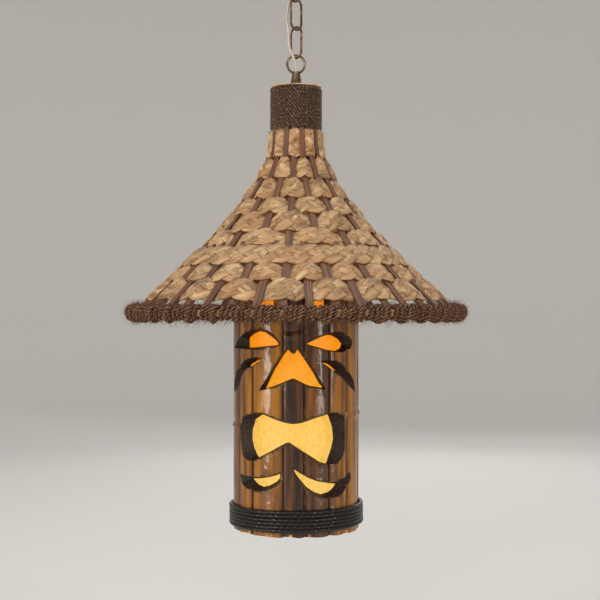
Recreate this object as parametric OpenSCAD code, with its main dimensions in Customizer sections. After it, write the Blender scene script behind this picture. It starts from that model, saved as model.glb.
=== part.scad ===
// Hanging tiki lamp: chain, woven palm-leaf hat and a drum of bamboo slats with a carved face.
// Millimetres, +Z up. The origin is the centre of the ceiling face; the face carving looks along -Y.

/* [Ceiling fitting] */
// Diameter of the bell canopy at the ceiling
canopy_d = 124; // [100:1:150]
// Depth of the bell canopy
canopy_h = 42; // [36:1:50]
// Wall of the canopy sheet metal
canopy_wall = 1.0; // [0.8:0.1:2]
// Distance between the two crossbar holes
bar_hole_pitch = 88.9; // [70:0.1:89]

/* [Chain] */
// Diameter of the link wire
wire_d = 3.0; // [2:0.1:3.2]
// Length of a link between its end wire centres
link_pitch = 40; // [36:1:46]
// Radius of a link's round ends, at the wire centre
link_r = 9.5; // [8.5:0.1:10]
// Play between two hooked wires
link_play = 0.3; // [0.2:0.05:0.6]

/* [Cord] */
// Diameter of the lamp cord
cord_d = 3.0; // [2:0.1:3.2]

/* [Neck] */
// Radius of the turned neck core
neck_core_r = 28.5; // [27:0.5:30]
// Outer radius of the neck binding
neck_r = 33.8; // [33:0.1:36]
// Height of the neck binding
neck_h = 55.3; // [50:0.1:70]
// Number of turns of the neck binding
neck_turns = 22; // [18:1:30]

/* [Hat] */
// Height of the hat from the neck binding to the rim hoop
hat_h = 232.7; // [210:0.1:250]
// Radius of the rim hoop's centre line
rim_r = 208; // [190:1:220]
// Thickness of the rope-wound rim
rim_d = 20; // [16:0.5:24]
// Number of ribs that start at the neck
rib_count = 20; // [16:1:22]
// Width of a rib
rib_w = 8; // [5:0.5:8]
// Thickness of a rib
rib_t = 2.0; // [1.5:0.1:2.5]
// Thickness of a plaited row with its bulges
row_t = 3.5; // [2.5:0.1:4]

/* [Body] */
// Outer radius of the slats
body_r = 81.2; // [78:0.1:84]
// Wall of the slats
slat_t = 9.5; // [7:0.5:11]
// Height of the slats
body_h = 326; // [310:1:340]
// Gap between two slats
slat_gap = 0.4; // [0.2:0.1:1]
// Outer radius of the translucent liner
liner_r = 60; // [56:0.5:62]
// Wall of the liner
liner_wall = 0.8; // [0.5:0.1:1.5]
// Thickness of the wooden hoops inside the slats, along Z
hoop_h = 14; // [10:1:18]
// Number of turns of the base binding
base_turns = 6; // [3:1:7]
// Diameter of the base binding cord
base_cord_d = 5.4; // [4:0.1:6]

/* [Lamp holder] */
// Radius of the threaded lamp pipe
rod_r = 5.0; // [4.8:0.1:5.2]
// Radius of the pipe's bore
rod_bore_r = 3.5; // [2.5:0.1:3.8]
// Radius of the bulb
bulb_r = 30; // [22:1:32]

/* [Hidden] */
$fn = 96;
fit = 0.05;                                   // radial clearance of a running or threaded fit
wire_r = wire_d / 2;
cord_r = cord_d / 2;
chain_step = link_pitch - wire_d - link_play; // drop from one link's top wire to the next one's

// Ceiling fitting levels
bar_t = 2;
bar_l = 108;
bar_w = 22;
bar_hole_r = 2.6;
nut_across = 14;
nut_h = 4;
lead_hole_r = 2.2;                            // cord hole in either loop
canopy_gap = 0.3;                             // between the canopy's rim and the ceiling
canopy_flat_r = 20;                           // flat centre of the canopy, around the collar
collar_h = 7.4;
shank_r = 13.6;                               // wider than the ring, so that the collar passes it
shank_top_z = -26;
shank_end_z = -58;
loop_r = 11.5;                                // ring of either loop, at the wire centre
canopy_loop_z = -67;

// Chain levels: top wire centre of the links, from the ceiling down
link_3_z = canopy_loop_z - loop_r + wire_d + link_play;
link_2_z = link_3_z - chain_step;
link_1_z = link_2_z - chain_step;
hang_ring_z = link_1_z - chain_step - loop_r;

// Lamp levels
cone_top_z = hang_ring_z - 9.5;
cone_bottom_z = hang_ring_z - 29.2;
neck_top_z = cone_bottom_z - 2;
neck_cap_t = 1.7;
core_foot_h = 10;                             // tapered foot of the neck core
spider_t = 2;                                 // strap thickness of the spider
spider_foot_r = 56;                           // radius where its arms turn down
spider_screw_r = 65;                          // radius of its screws
arm_angles = [30, 150, 270];
neck_bottom_z = neck_top_z - neck_h;
rim_z = neck_bottom_z - hat_h - 1.3;
body_bottom_z = rim_z - 278.6;
body_top_z = body_bottom_z + body_h;
carving_z = body_bottom_z - 3.7;              // level that the carving's heights are measured from
hoop_top_z = body_top_z - 8;
hoop_low_z = body_bottom_z + 8;
liner_top_z = hoop_top_z - 10;
liner_bottom_z = body_bottom_z + 6;
rod_bottom_z = body_top_z - 78;
base_cord_r = base_cord_d / 2;
base_pitch = base_cord_d * 0.98;
base_z = body_bottom_z + 4.5 + base_cord_r;
cap_z = rod_bottom_z + 7;                     // top of the socket cap
bulb_top_z = cap_z - 31;                      // top of the bulb's screw cap
bulb_cap_r = 13.2;
socket_cap_r = 17;
shell_r = 16;                                 // outer radius of the socket's brass shell
insulator_r = 15.3;                           // outer radius of the porcelain inside it
shell_l = 42.5;                               // length of the shell below the cap's joint

// Slat edges, in degrees from the front, positive towards +X
slat_edges = [-95, -62.5, -43, -12, 7.5, 31.5, 52.5, 80, 110, 141, 172, 203, 234, 265];
slat_count = len(slat_edges) - 1;

// Edges of the nine plaited rows, as drops below the neck binding
row_edges = [[1, 37.6], [38, 65.2], [65.6, 91], [91.4, 110.5], [111, 134], [134.4, 152.6], [153, 176],
             [176.4, 195], [195.4, 220]];
row_count = len(row_edges);
row_out = 1.5;                                // outer face of the rows, out from the profile
rib_out = row_out - row_t - 0.7;              // outer face of the ribs, inside the rows
rib_turn = 13.5;                              // first rib, in degrees from the front
rib_end_t = 0.985;
rib_steps = 20;

// Profile of the hat, a Bezier curve of [radius, drop below the neck binding]
hat_bezier = [[neck_r, 0], [19.5, 60.5], [128.7, 163.4], [rim_r - 1.3, hat_h]];

// Route of the lamp cord, from the hang loop's cone up to the ceiling fitting
cord_route = [
    [0, 0, -206], [0, -0.5, -201], [-1, -2.5, -196], [-2.5, -4.5, -191], [-5, -5.5, -186], [-7.5, -5.5, -180],
    [-9, -5, -174], [-10, -4, -168], [-10, -3, -161], [-10, -2, -154], [-11, -2, -147], [-12, -2, -140],
    [-11.5, -2, -132], [-10.5, -2, -125], [-9.5, -1.5, -118], [-9, -1, -111], [-9, -0.5, -103], [-9, 0, -95],
    [-8.5, 1, -88], [-8, 2, -82], [-6.5, 2.5, -76], [-4, 2, -69], [-1.5, 1, -62], [0, 0, -56], [0, 0, -50]];
// First and last route point of each stretch: hang loop to link 1, then link by link up to the ceiling
cord_cuts = [0, 7, 12, 17, 24];
first_route_z = cord_route[0][2];
last_route_z = cord_route[len(cord_route) - 1][2];
lead_top_z = -2;                              // top of the lead inside the nipple

// ---- shared shapes ----

// Point of the hat's profile at t from 0 to 1
function hat_point(t) =
    pow(1 - t, 3) * hat_bezier[0] + 3 * pow(1 - t, 2) * t * hat_bezier[1]
    + 3 * (1 - t) * t * t * hat_bezier[2] + pow(t, 3) * hat_bezier[3];
// Direction of the profile there, one unit long
function hat_slope(t) =
    let (d = hat_point(min(1, t + 0.01)) - hat_point(max(0, t - 0.01))) d / norm(d);
// Profile point moved outwards from the surface, as [radius, z]
function hat_offset(t, out) =
    let (p = hat_point(t), s = hat_slope(t)) [p[0] + s[1] * out, neck_bottom_z - p[1] + s[0] * out];
// Value of t at a given drop, by halving the interval
function hat_t(drop, low = 0, high = 1, n = 14) =
    n == 0 ? (low + high) / 2
    : hat_point((low + high) / 2)[1] < drop ? hat_t(drop, (low + high) / 2, high, n - 1)
    : hat_t(drop, low, (low + high) / 2, n - 1);

// Closed strip along the profile between two t values, between two offsets
module profile_strip(t0, t1, low, high, steps) {
    ts = [for (i = [0:steps]) t0 + (t1 - t0) * i / steps];
    polygon(concat([for (t = ts) hat_offset(t, high)], [for (i = [steps:-1:0]) hat_offset(ts[i], low)]));
}

// Ring of wire standing in the XZ plane
module wire_ring(r) {
    rotate([90, 0, 0]) rotate_extrude() translate([r, 0]) circle(r = wire_r, $fn = 32);
}

// Hexagonal nut around the Z axis, its top at z
module hex_nut(z, across, h, hole_r) {
    translate([0, 0, z - h]) difference() {
        cylinder(r = across / sqrt(3), h = h, $fn = 6);
        translate([0, 0, -1]) cylinder(r = hole_r, h = h + 2);
    }
}

// Tube between two levels
module tube(outer, inner, z_low, z_high) {
    translate([0, 0, z_low]) difference() {
        cylinder(r = outer, h = z_high - z_low);
        translate([0, 0, -1]) cylinder(r = inner, h = z_high - z_low + 2);
    }
}

// Chain link whose top wire centre is at z, its plane turned about Z
module chain_link(z, turn) {
    straight = link_pitch - 2 * link_r;
    color("#6b5a45") translate([0, 0, z - link_r]) rotate([90, 0, turn]) {
        rotate_extrude(angle = 180) translate([link_r, 0]) circle(r = wire_r, $fn = 32);
        translate([0, -straight, 0]) rotate(180) rotate_extrude(angle = 180)
            translate([link_r, 0]) circle(r = wire_r, $fn = 32);
        for (side = [-1, 1]) translate([side * link_r, -straight, 0]) rotate([-90, 0, 0])
            cylinder(r = wire_r, h = straight, $fn = 32);
    }
}

// ---- cord ----

function unit(v) = v / norm(v);
// Direction of the cord at a route point; upright at both of its ends
function route_dir(i) =
    i == 0 || i == len(cord_route) - 1 ? [0, 0, 1] : unit(cord_route[i + 1] - cord_route[i - 1]);
// Eight-sided tube swept along the route from one point to another
module cord_tube(first, last) {
    sides = 8;
    rings = last - first + 1;
    points = [for (i = [first:last])
        let (along = route_dir(i), right = unit(cross([0, 1, 0], along)), up = cross(along, right))
        for (k = [0:sides - 1])
            cord_route[i] + cord_r * (cos(k * 360 / sides) * right + sin(k * 360 / sides) * up)];
    walls = [for (i = [0:rings - 2], k = [0:sides - 1])
        [(i + 1) * sides + k, (i + 1) * sides + (k + 1) % sides, i * sides + (k + 1) % sides, i * sides + k]];
    start = [for (k = [0:sides - 1]) k];
    finish = [for (k = [sides - 1:-1:0]) (rings - 1) * sides + k];
    color("#b7a79c") polyhedron(points, concat([start], walls, [finish]));
}

// ---- ceiling fitting ----

module ceiling_bracket() {
    color("#8f8f8c") difference() {
        translate([-bar_l / 2, -bar_w / 2, -bar_t]) cube([bar_l, bar_w, bar_t]);
        for (x = [-bar_hole_pitch / 2, bar_hole_pitch / 2]) translate([x, 0, -bar_t - 1])
            cylinder(r = bar_hole_r, h = bar_t + 2);
        translate([0, 0, -bar_t - 1]) cylinder(r = rod_r + fit, h = bar_t + 2);
    }
}
module canopy_nipple() {
    color("#a08a5a") tube(rod_r, rod_bore_r, -40, -0.2);
}
module canopy_locknut() {
    color("#a08a5a") hex_nut(-bar_t, nut_across, 3, rod_r + fit);
}
module canopy_loop() {
    color("#6b5a45") difference() {
        union() {
            translate([0, 0, shank_end_z + 5]) cylinder(r = shank_r, h = shank_top_z - shank_end_z - 5);
            translate([0, 0, shank_end_z]) cylinder(r1 = 4.5, r2 = 9, h = 5);
            translate([0, 0, canopy_loop_z]) rotate([0, 0, 45]) wire_ring(loop_r);
        }
        translate([0, 0, -44]) cylinder(r = rod_r + fit, h = 20);
        translate([0, 0, shank_end_z - 3]) cylinder(r = lead_hole_r, h = 20);
    }
}
module ceiling_lead() {
    color("#b7a79c") translate([0, 0, last_route_z]) cylinder(r = cord_r, h = lead_top_z - last_route_z);
}
module canopy() {
    color("#6b5a45") rotate_extrude() polygon(concat(
        [for (a = [0:6:90]) dome_point(a, 0)], [[shank_r + 1.4, -canopy_h], [shank_r + 1.4, canopy_wall - canopy_h]],
        [for (a = [90:-6:0]) dome_point(a, canopy_wall)]));
}
// Point of the dome's section: a quarter ellipse around a flat centre, moved inwards by inset
function dome_point(a, inset) =
    [canopy_flat_r + (canopy_d / 2 - canopy_flat_r - inset) * cos(a),
     -canopy_gap - (canopy_h - canopy_gap - inset) * sin(a)];
module collar_ring() {
    color("#6b5a45") tube(19, shank_r + fit, -canopy_h - 0.3 - collar_h, -canopy_h - 0.3);
}

// ---- hang loop, rod and neck ----

module hang_loop() {
    color("#6b5a45") difference() {
        union() {
            translate([0, 0, cone_bottom_z]) cylinder(r1 = 8.2, r2 = 4.6, h = cone_top_z - cone_bottom_z);
            translate([0, 0, hang_ring_z]) wire_ring(loop_r);
        }
        translate([0, 0, cone_bottom_z - 1]) cylinder(r = rod_r + fit, h = 8);
        translate([0, 0, cone_bottom_z]) cylinder(r = lead_hole_r, h = 40);
    }
}
module lamp_rod() {
    color("#a08a5a") tube(rod_r, rod_bore_r, rod_bottom_z, cone_bottom_z + 6);
}
module rod_nuts() {
    color("#a08a5a") {
        hex_nut(neck_bottom_z - core_foot_h, nut_across, nut_h, rod_r + fit);
        hex_nut(body_top_z + spider_t + nut_h + 0.2, nut_across, nut_h, rod_r + fit);
        hex_nut(body_top_z, nut_across, nut_h, rod_r + fit);
    }
}
module neck_core() {
    color("#9a7a4c") difference() {
        union() {
            translate([0, 0, neck_bottom_z - core_foot_h])
                cylinder(r1 = neck_core_r - 5, r2 = neck_core_r, h = core_foot_h);
            translate([0, 0, neck_bottom_z]) cylinder(r = neck_core_r, h = neck_h);
        }
        translate([0, 0, neck_bottom_z - 20]) cylinder(r = rod_r + fit, h = neck_h + 40);
    }
}
module neck_cap() {
    color("#b08f66") tube(neck_r - 1.3, rod_r + 3.5, neck_top_z, neck_top_z + neck_cap_t);
}
module neck_wrap() {
    pitch = neck_h / neck_turns;
    color("#4a2a1a") rotate_extrude() {
        translate([neck_core_r + rib_t + 1, neck_bottom_z])
            square([neck_r - pitch / 2 - neck_core_r - rib_t - 1, neck_h]);
        for (i = [0:neck_turns - 1]) translate([neck_r - pitch / 2, neck_bottom_z + pitch * (i + 0.5)])
            circle(r = pitch / 2, $fn = 24);
    }
}

// ---- hat ----

// Long rib: it stands between the neck core and the binding, then follows the inside of the rows
module long_rib() {
    stem_r = neck_core_r + 0.3;
    leave_t = 0.02;
    outer = [for (i = [0:rib_steps]) hat_offset(leave_t + (rib_end_t - leave_t) * i / rib_steps, rib_out)];
    inner = [for (i = [rib_steps:-1:0])
        hat_offset(leave_t + (rib_end_t - leave_t) * i / rib_steps, rib_out - rib_t)];
    upright_rib() polygon(concat(
        [[stem_r, neck_top_z], [stem_r + rib_t, neck_top_z], [stem_r + rib_t, neck_bottom_z]], outer, inner,
        [[stem_r, neck_bottom_z]]));
}
// Short rib, let in below the sixth row where the long ones have spread apart
module short_rib() {
    upright_rib() profile_strip(hat_t(row_edges[5][1]), rib_end_t, rib_out - rib_t, rib_out, rib_steps);
}
module upright_rib() {
    rotate([90, 0, 0]) translate([0, 0, -rib_w / 2]) linear_extrude(height = rib_w) children();
}
module hat_ribs() {
    color("#7a5a3a") for (i = [0:rib_count - 1]) {
        rotate(rib_turn - 90 + i * 360 / rib_count) long_rib();
        rotate(rib_turn - 90 + (i + 0.5) * 360 / rib_count) short_rib();
    }
}
module braid_row(i) {
    edges = row_edges[i - 1];
    color(i % 2 == 0 ? "#a5825a" : "#b08f66") rotate_extrude()
        profile_strip(hat_t(edges[0]), hat_t(edges[1]), row_out - row_t, row_out, 8);
}
module rim_hoop() {
    color("#7a5a3a") translate([0, 0, rim_z]) rotate_extrude() translate([rim_r, 0]) circle(r = 4.5, $fn = 32);
}
module rim_wrap() {
    color("#4a2f20") translate([0, 0, rim_z]) rotate_extrude() translate([rim_r, 0]) difference() {
        circle(r = rim_d / 2, $fn = 48);
        circle(r = 4.6, $fn = 32);
    }
}

// ---- body ----

// Outlines of the carved openings, [x, height above the carving's level], around the face's centre line
function face_openings() = [
    [[-58.5, 237], [-58.5, 249], [-52, 255], [-45, 258], [-38, 257], [-31, 252], [-22, 243]],
    [[13, 243], [31, 251], [39, 254], [45, 253], [53, 248], [57, 242], [55, 237], [49, 234], [39, 235], [28, 238]],
    [[-58, 213], [-53, 219], [-45, 223], [-47, 218], [-53, 215]],
    [[33, 220], [39, 218], [49, 209], [47, 208], [39, 214.5]],
    [[-10, 236], [-3, 228], [2, 236], [10, 224], [21, 208], [29, 193], [35, 188], [16, 191], [-4, 201], [-26, 191],
     [-38, 187], [-27, 210], [-16, 228]],
    [[-41, 155], [-51, 148], [-54.5, 134], [-54.5, 122], [-47, 100], [-37, 106], [-10, 122], [0, 116], [16, 105],
     [37, 94], [46, 123], [45, 137], [39.5, 155], [22, 150], [7, 145], [-4.5, 143.5], [-17, 146], [-30, 150]],
    [[-54, 73], [-34, 77], [-19.5, 82], [-20, 76], [-25, 71], [-34, 66], [-41, 64], [-51, 70]],
    [[-3, 88], [5, 82], [16, 76], [28, 71.5], [49, 67], [40, 58], [31, 56], [22, 59], [13, 66], [5, 75]],
    [[-48, 291], [-43, 299], [-36, 302], [-27, 299], [-25, 291]],
    [[19, 291], [27, 296], [37, 301], [37.5, 291]]];

module slat(i) {
    half_gap = slat_gap / 2 / body_r * 180 / PI;
    a0 = slat_edges[i - 1] + half_gap;
    a1 = slat_edges[i] - half_gap;
    color(i % 2 == 0 ? "#8c5514" : "#7c4a16") difference() {
        translate([0, 0, body_bottom_z]) rotate(a0 - 90) rotate_extrude(angle = a1 - a0, $fn = 180)
            translate([body_r - slat_t, 0]) square([slat_t, body_h]);
        if (a1 > -60 && a0 < 60) for (outline = face_openings())
            translate([0, -body_r / 2, carving_z]) rotate([90, 0, 0])
                linear_extrude(height = body_r) polygon(outline);
    }
}
module hoop(z_low) {
    color("#8a6a40") tube(body_r - slat_t - 0.1, liner_r + 0.1, z_low, z_low + hoop_h);
}
module hoop_top() { hoop(hoop_top_z - hoop_h); }
module hoop_bottom() { hoop(hoop_low_z); }
module slat_nails() {
    color("#4b4038") for (i = [0:slat_count - 1], z = [hoop_top_z - hoop_h / 2, hoop_low_z + hoop_h / 2]) {
        middle = (slat_edges[i] + slat_edges[i + 1]) / 2;
        translate([0, 0, z]) rotate(middle - 90) rotate([0, 90, 0]) {
            translate([0, 0, body_r - slat_t - 5]) cylinder(r = 0.8, h = slat_t + 4.6, $fn = 24);
        }
    }
}
module liner() {
    color("#ffc060") tube(liner_r, liner_r - liner_wall, liner_bottom_z, liner_top_z);
}
module base_wrap() {
    color("#231916") rotate_extrude() {
        translate([body_r + 0.15, base_z]) square([base_cord_r * 0.8, base_pitch * (base_turns - 1)]);
        for (i = [0:base_turns - 1])
            translate([body_r + base_cord_r + 0.15, base_z + base_pitch * i]) circle(r = base_cord_r, $fn = 32);
    }
}

// ---- lamp holder ----

// Three-armed strap that rests on the top hoop and is clamped to the rod by two nuts
module spider() {
    arm_l = body_r - slat_t - 1.5;
    arm_w = 14;
    color("#8f8f8c") difference() {
        union() {
            translate([0, 0, body_top_z]) cylinder(r = arm_w, h = spider_t);
            for (a = arm_angles) rotate(a) translate([0, -arm_w / 2, 0]) {
                translate([0, 0, body_top_z]) cube([spider_foot_r + spider_t, arm_w, spider_t]);
                translate([spider_foot_r, 0, hoop_top_z]) cube([spider_t, arm_w, body_top_z - hoop_top_z + spider_t]);
                translate([spider_foot_r, 0, hoop_top_z]) cube([arm_l - spider_foot_r, arm_w, spider_t]);
            }
        }
        translate([0, 0, body_top_z - 1]) cylinder(r = rod_r + fit, h = spider_t + 2);
        for (a = arm_angles) rotate(a) translate([spider_screw_r, 0, hoop_top_z - 1])
            cylinder(r = 1.8, h = spider_t + 2);
    }
}
module spider_screws() {
    depth = 10;
    color("#a3a09a") for (a = arm_angles) rotate(a) translate([spider_screw_r, 0, hoop_top_z - depth]) {
        cylinder(r = 1.6, h = depth + spider_t, $fn = 24);
        translate([0, 0, depth + spider_t]) cylinder(r1 = 3.4, r2 = 2.4, h = 1.8, $fn = 32);
    }
}
module socket_cap() {
    color("#b08d57") difference() {
        union() {
            translate([0, 0, cap_z - 10]) cylinder(r = 8, h = 10);
            translate([0, 0, cap_z - 20]) cylinder(r1 = socket_cap_r, r2 = 8, h = 12);
            translate([0, 0, cap_z - 28]) cylinder(r = socket_cap_r, h = 8);
        }
        translate([0, 0, cap_z - 9]) cylinder(r = rod_r + fit, h = 12);
        translate([0, 0, cap_z - 21]) cylinder(r1 = 15.6, r2 = 7, h = 12);
        translate([0, 0, cap_z - 29]) cylinder(r = shell_r + 0.1, h = 8.02);
    }
}
module socket_shell() {
    color("#b08d57") tube(shell_r, insulator_r + 0.1, cap_z - 21.5 - shell_l, cap_z - 21.5);
}
module socket_core() {
    color("#e8e2d4") {
        tube(insulator_r, bulb_cap_r + 0.8, cap_z - 62, cap_z - 24);
        translate([0, 0, cap_z - 24]) cylinder(r = insulator_r, h = 3);
    }
}
module screw_shell() {
    color("#c9a45c") tube(bulb_cap_r + 0.7, bulb_cap_r + 0.08, cap_z - 60, cap_z - 27);
}
module inner_lead() {
    color("#b7a79c") translate([0, 0, cap_z - 20]) cylinder(r = cord_r, h = first_route_z - cap_z + 20);
}
module bulb_cap() {
    color("#c7c7c2") difference() {
        union() {
            translate([0, 0, bulb_top_z - 26]) cylinder(r = bulb_cap_r, h = 24);
            translate([0, 0, bulb_top_z - 2]) cylinder(r1 = bulb_cap_r, r2 = 5, h = 3);
        }
        translate([0, 0, bulb_top_z - 27]) cylinder(r = bulb_cap_r - 0.9, h = 24.5);
    }
}
module bulb_glass() {
    neck_glass = 12.1;
    globe_z = bulb_top_z - 76;
    color("#fff3d0") rotate_extrude() difference() {
        union() {
            translate([0, globe_z]) circle(r = bulb_r);
            polygon([[0, globe_z], [bulb_r * 0.94, globe_z + bulb_r * 0.34], [neck_glass + 4, globe_z + 36],
                     [neck_glass, globe_z + 50], [neck_glass, bulb_top_z - 4], [0, bulb_top_z - 4]]);
        }
        translate([0, globe_z]) circle(r = bulb_r - 1);
        polygon([[0, globe_z], [bulb_r * 0.94 - 1.2, globe_z + bulb_r * 0.34], [neck_glass + 2.8, globe_z + 36],
                 [neck_glass - 1, globe_z + 50], [neck_glass - 1, bulb_top_z - 3], [0, bulb_top_z - 3]]);
        translate([-2 * bulb_r, globe_z - 2 * bulb_r]) square([2 * bulb_r, 6 * bulb_r]);
    }
}

ceiling_bracket();
canopy_nipple();
canopy_locknut();
canopy_loop();
ceiling_lead();
canopy();
collar_ring();
chain_link(link_3_z, -45);  // link_3
chain_link(link_2_z, 45);  // link_2
chain_link(link_1_z, -45);  // link_1
for (i = [1:4]) cord_tube(cord_cuts[i - 1], cord_cuts[i]);
hang_loop();
lamp_rod();
rod_nuts();
neck_core();
neck_cap();
neck_wrap();
hat_ribs();
rim_hoop();
rim_wrap();
spider();
spider_screws();
hoop_top();
hoop_bottom();
slat_nails();
liner();
base_wrap();
socket_cap();
socket_shell();
socket_core();
screw_shell();
inner_lead();
bulb_cap();
bulb_glass();
for (i = [1:row_count]) braid_row(i);
for (i = [1:slat_count]) slat(i);
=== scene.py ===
# Hanging tiki lamp: chain and cord, plaited palm hat, and a drum of lacquered bamboo slats with a carved face
import math
import random
import bmesh
import bpy
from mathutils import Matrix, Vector, noise


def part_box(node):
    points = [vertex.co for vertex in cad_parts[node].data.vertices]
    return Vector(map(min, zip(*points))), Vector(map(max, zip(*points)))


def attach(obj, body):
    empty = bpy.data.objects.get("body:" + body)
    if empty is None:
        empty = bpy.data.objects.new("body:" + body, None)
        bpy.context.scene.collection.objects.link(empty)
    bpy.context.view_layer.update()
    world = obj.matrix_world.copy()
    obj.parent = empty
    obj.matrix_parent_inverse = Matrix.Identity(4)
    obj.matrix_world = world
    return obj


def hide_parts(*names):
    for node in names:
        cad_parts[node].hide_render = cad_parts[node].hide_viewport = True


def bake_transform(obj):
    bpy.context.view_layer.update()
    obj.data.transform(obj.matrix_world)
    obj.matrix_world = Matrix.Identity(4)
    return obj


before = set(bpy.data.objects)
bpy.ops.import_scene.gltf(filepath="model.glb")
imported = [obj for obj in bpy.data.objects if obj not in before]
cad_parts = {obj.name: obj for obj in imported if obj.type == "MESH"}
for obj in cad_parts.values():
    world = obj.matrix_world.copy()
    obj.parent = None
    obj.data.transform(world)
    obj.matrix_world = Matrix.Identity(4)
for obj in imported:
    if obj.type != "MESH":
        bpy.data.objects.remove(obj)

scene = bpy.context.scene
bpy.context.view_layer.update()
rng = random.Random(11)
mm = 0.001
tau = 2 * math.pi
print("frame loaded:", len(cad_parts), "nodes")

# ---- levels, read from the frame ----

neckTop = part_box("neck_wrap")[1].z
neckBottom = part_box("neck_wrap")[0].z
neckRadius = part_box("neck_wrap")[1].x
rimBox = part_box("rim_wrap")
rimZ = (rimBox[0].z + rimBox[1].z) / 2
rimThick = rimBox[1].z - rimBox[0].z
rimRadius = rimBox[1].x - rimThick / 2
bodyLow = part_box("slat_11")[0].z
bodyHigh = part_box("slat_11")[1].z
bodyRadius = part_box("slat_11")[1].y


# ---- small tools ----

def facePoint(angle, radius, z):  # angle in degrees from the front, positive towards +X
    a = math.radians(angle)
    return Vector((radius * math.sin(a), -radius * math.cos(a), z))


def smoothStep(x, low=0.0, high=1.0):
    t = min(1, max(0, (x - low) / (high - low)))
    return t * t * (3 - 2 * t)


def ringNoise(angle, size, seed):  # noise that closes round a ring, about -0.5 to 0.5
    a = math.radians(angle)
    return noise.noise(Vector((math.sin(a) * size, math.cos(a) * size, seed)))


# The function place(u, v) gives a point, its UV and an edge value
def addStrip(bm, uSteps, vSteps, place, merge=False, tone=0.5):
    uvLayer = bm.loops.layers.uv.get("UVMap") or bm.loops.layers.uv.new("UVMap")
    edgeLayer = bm.verts.layers.float.get("edge") or bm.verts.layers.float.new("edge")
    toneLayer = bm.verts.layers.float.get("tone") or bm.verts.layers.float.new("tone")
    verts = bmesh.ops.create_grid(bm, x_segments=uSteps, y_segments=vSteps, size=0.5)["verts"]
    for vert in verts:
        point, uv, edge = place(vert.co.x + 0.5, vert.co.y + 0.5)
        vert.co = point
        vert[edgeLayer] = edge
        vert[toneLayer] = tone
        for loop in vert.link_loops:
            loop[uvLayer].uv = uv
    if merge:
        bmesh.ops.remove_doubles(bm, verts=verts, dist=0.01 * mm)


def addTube(bm, path, radius, sides, wobble=0.0):  # UV runs in metres along, and once round
    points = [Vector(p) for p in path]
    count = len(points) - 1
    lengths = [0.0]
    for i in range(count):
        lengths.append(lengths[-1] + (points[i + 1] - points[i]).length)
    frames = []
    up = Vector((0, 0, 1))
    for i in range(count + 1):
        before = points[max(0, i - 1)]
        after = points[min(count, i + 1)]
        along = (after - before).normalized()
        side = along.cross(up)
        side = side.normalized() if side.length > 0.05 else along.cross(Vector((0, 1, 0))).normalized()
        frames.append((side, side.cross(along)))

    def place(u, v):
        i = round(u * count)
        a = v * tau
        side, lift = frames[i]
        r = radius * (1 + wobble * noise.noise(points[i] * 300))
        return points[i] + r * (math.cos(a) * side + math.sin(a) * lift), (lengths[i], v), 0.0

    addStrip(bm, count, sides, place, merge=True)
    bmesh.ops.holes_fill(bm, edges=[e for e in bm.edges if e.is_boundary], sides=sides)


def addPiece(bm, name, material, body, replaces=(), sharp=50, closed=True):
    if closed:
        bmesh.ops.recalc_face_normals(bm, faces=bm.faces)
    mesh = bpy.data.meshes.new(name)
    bm.to_mesh(mesh)
    bm.free()
    mesh.materials.append(material)
    mesh.shade_smooth()
    mesh.set_sharp_from_angle(angle=math.radians(sharp))
    piece = bpy.data.objects.new(name, mesh)
    scene.collection.objects.link(piece)
    if body:
        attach(piece, body)
    if replaces:
        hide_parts(*replaces)
    return piece


def turnOutwards(bm):  # open strips that face the axis are turned round
    bm.normal_update()
    inward = [f for f in bm.faces if f.normal.xy.dot(f.calc_center_median().xy) < 0]
    bmesh.ops.reverse_faces(bm, faces=inward)


def linearColour(code):  # sRGB hex to linear
    parts = [int(code[i:i + 2], 16) / 255 for i in (1, 3, 5)]
    return tuple(c / 12.92 if c <= 0.04045 else ((c + 0.055) / 1.055) ** 2.4 for c in parts) + (1.0,)


def addNode(mat, kind, settings=None, inputs=None, stops=None):  # one node, its links and ramp stops
    node = mat.node_tree.nodes.new("ShaderNode" + kind)
    for key, value in (settings or {}).items():
        setattr(node, key, value)
    for key, value in (inputs or {}).items():
        if isinstance(value, bpy.types.NodeSocket):
            mat.node_tree.links.new(value, node.inputs[key])
        else:
            node.inputs[key].default_value = linearColour(value) if isinstance(value, str) else value
    if stops:
        ramp = node.color_ramp.elements
        while len(ramp) < len(stops):
            ramp.new(0.5)
        for element, (position, colour) in zip(ramp, stops):
            element.position = position
            element.color = linearColour(colour)
    return node


def newMaterial(name, inputs):  # a Principled shader wired to the output
    mat = bpy.data.materials.new(name)
    mat.use_nodes = True
    mat.node_tree.nodes.clear()
    shader = addNode(mat, "BsdfPrincipled", inputs=inputs)
    addNode(mat, "OutputMaterial", inputs={"Surface": shader.outputs[0]})
    return mat, shader


def wire(mat, shader, links):
    for key, socket in links.items():
        mat.node_tree.links.new(socket, shader.inputs[key])


def stretchedNoise(mat, source, scales, detail):  # scales are patches per unit along each axis
    stretched = addNode(mat, "Mapping", inputs={0: source, 3: scales})
    return addNode(mat, "TexNoise", inputs={"Vector": stretched.outputs[0], "Scale": 1.0, "Detail": detail})


def cloudyMaterial(name, inputs, scale, dark, light, socket="Base Color"):  # soft patches of two close tones
    mat, shader = newMaterial(name, inputs)
    coords = addNode(mat, "TexCoord")
    patches = addNode(mat, "TexNoise", inputs={"Vector": coords.outputs["Object"], "Scale": scale})
    tone = addNode(mat, "ValToRGB", inputs={0: patches.outputs[0]}, stops=[(0.3, dark), (0.7, light)])
    wire(mat, shader, {socket: tone.outputs[0]})
    return mat


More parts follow.
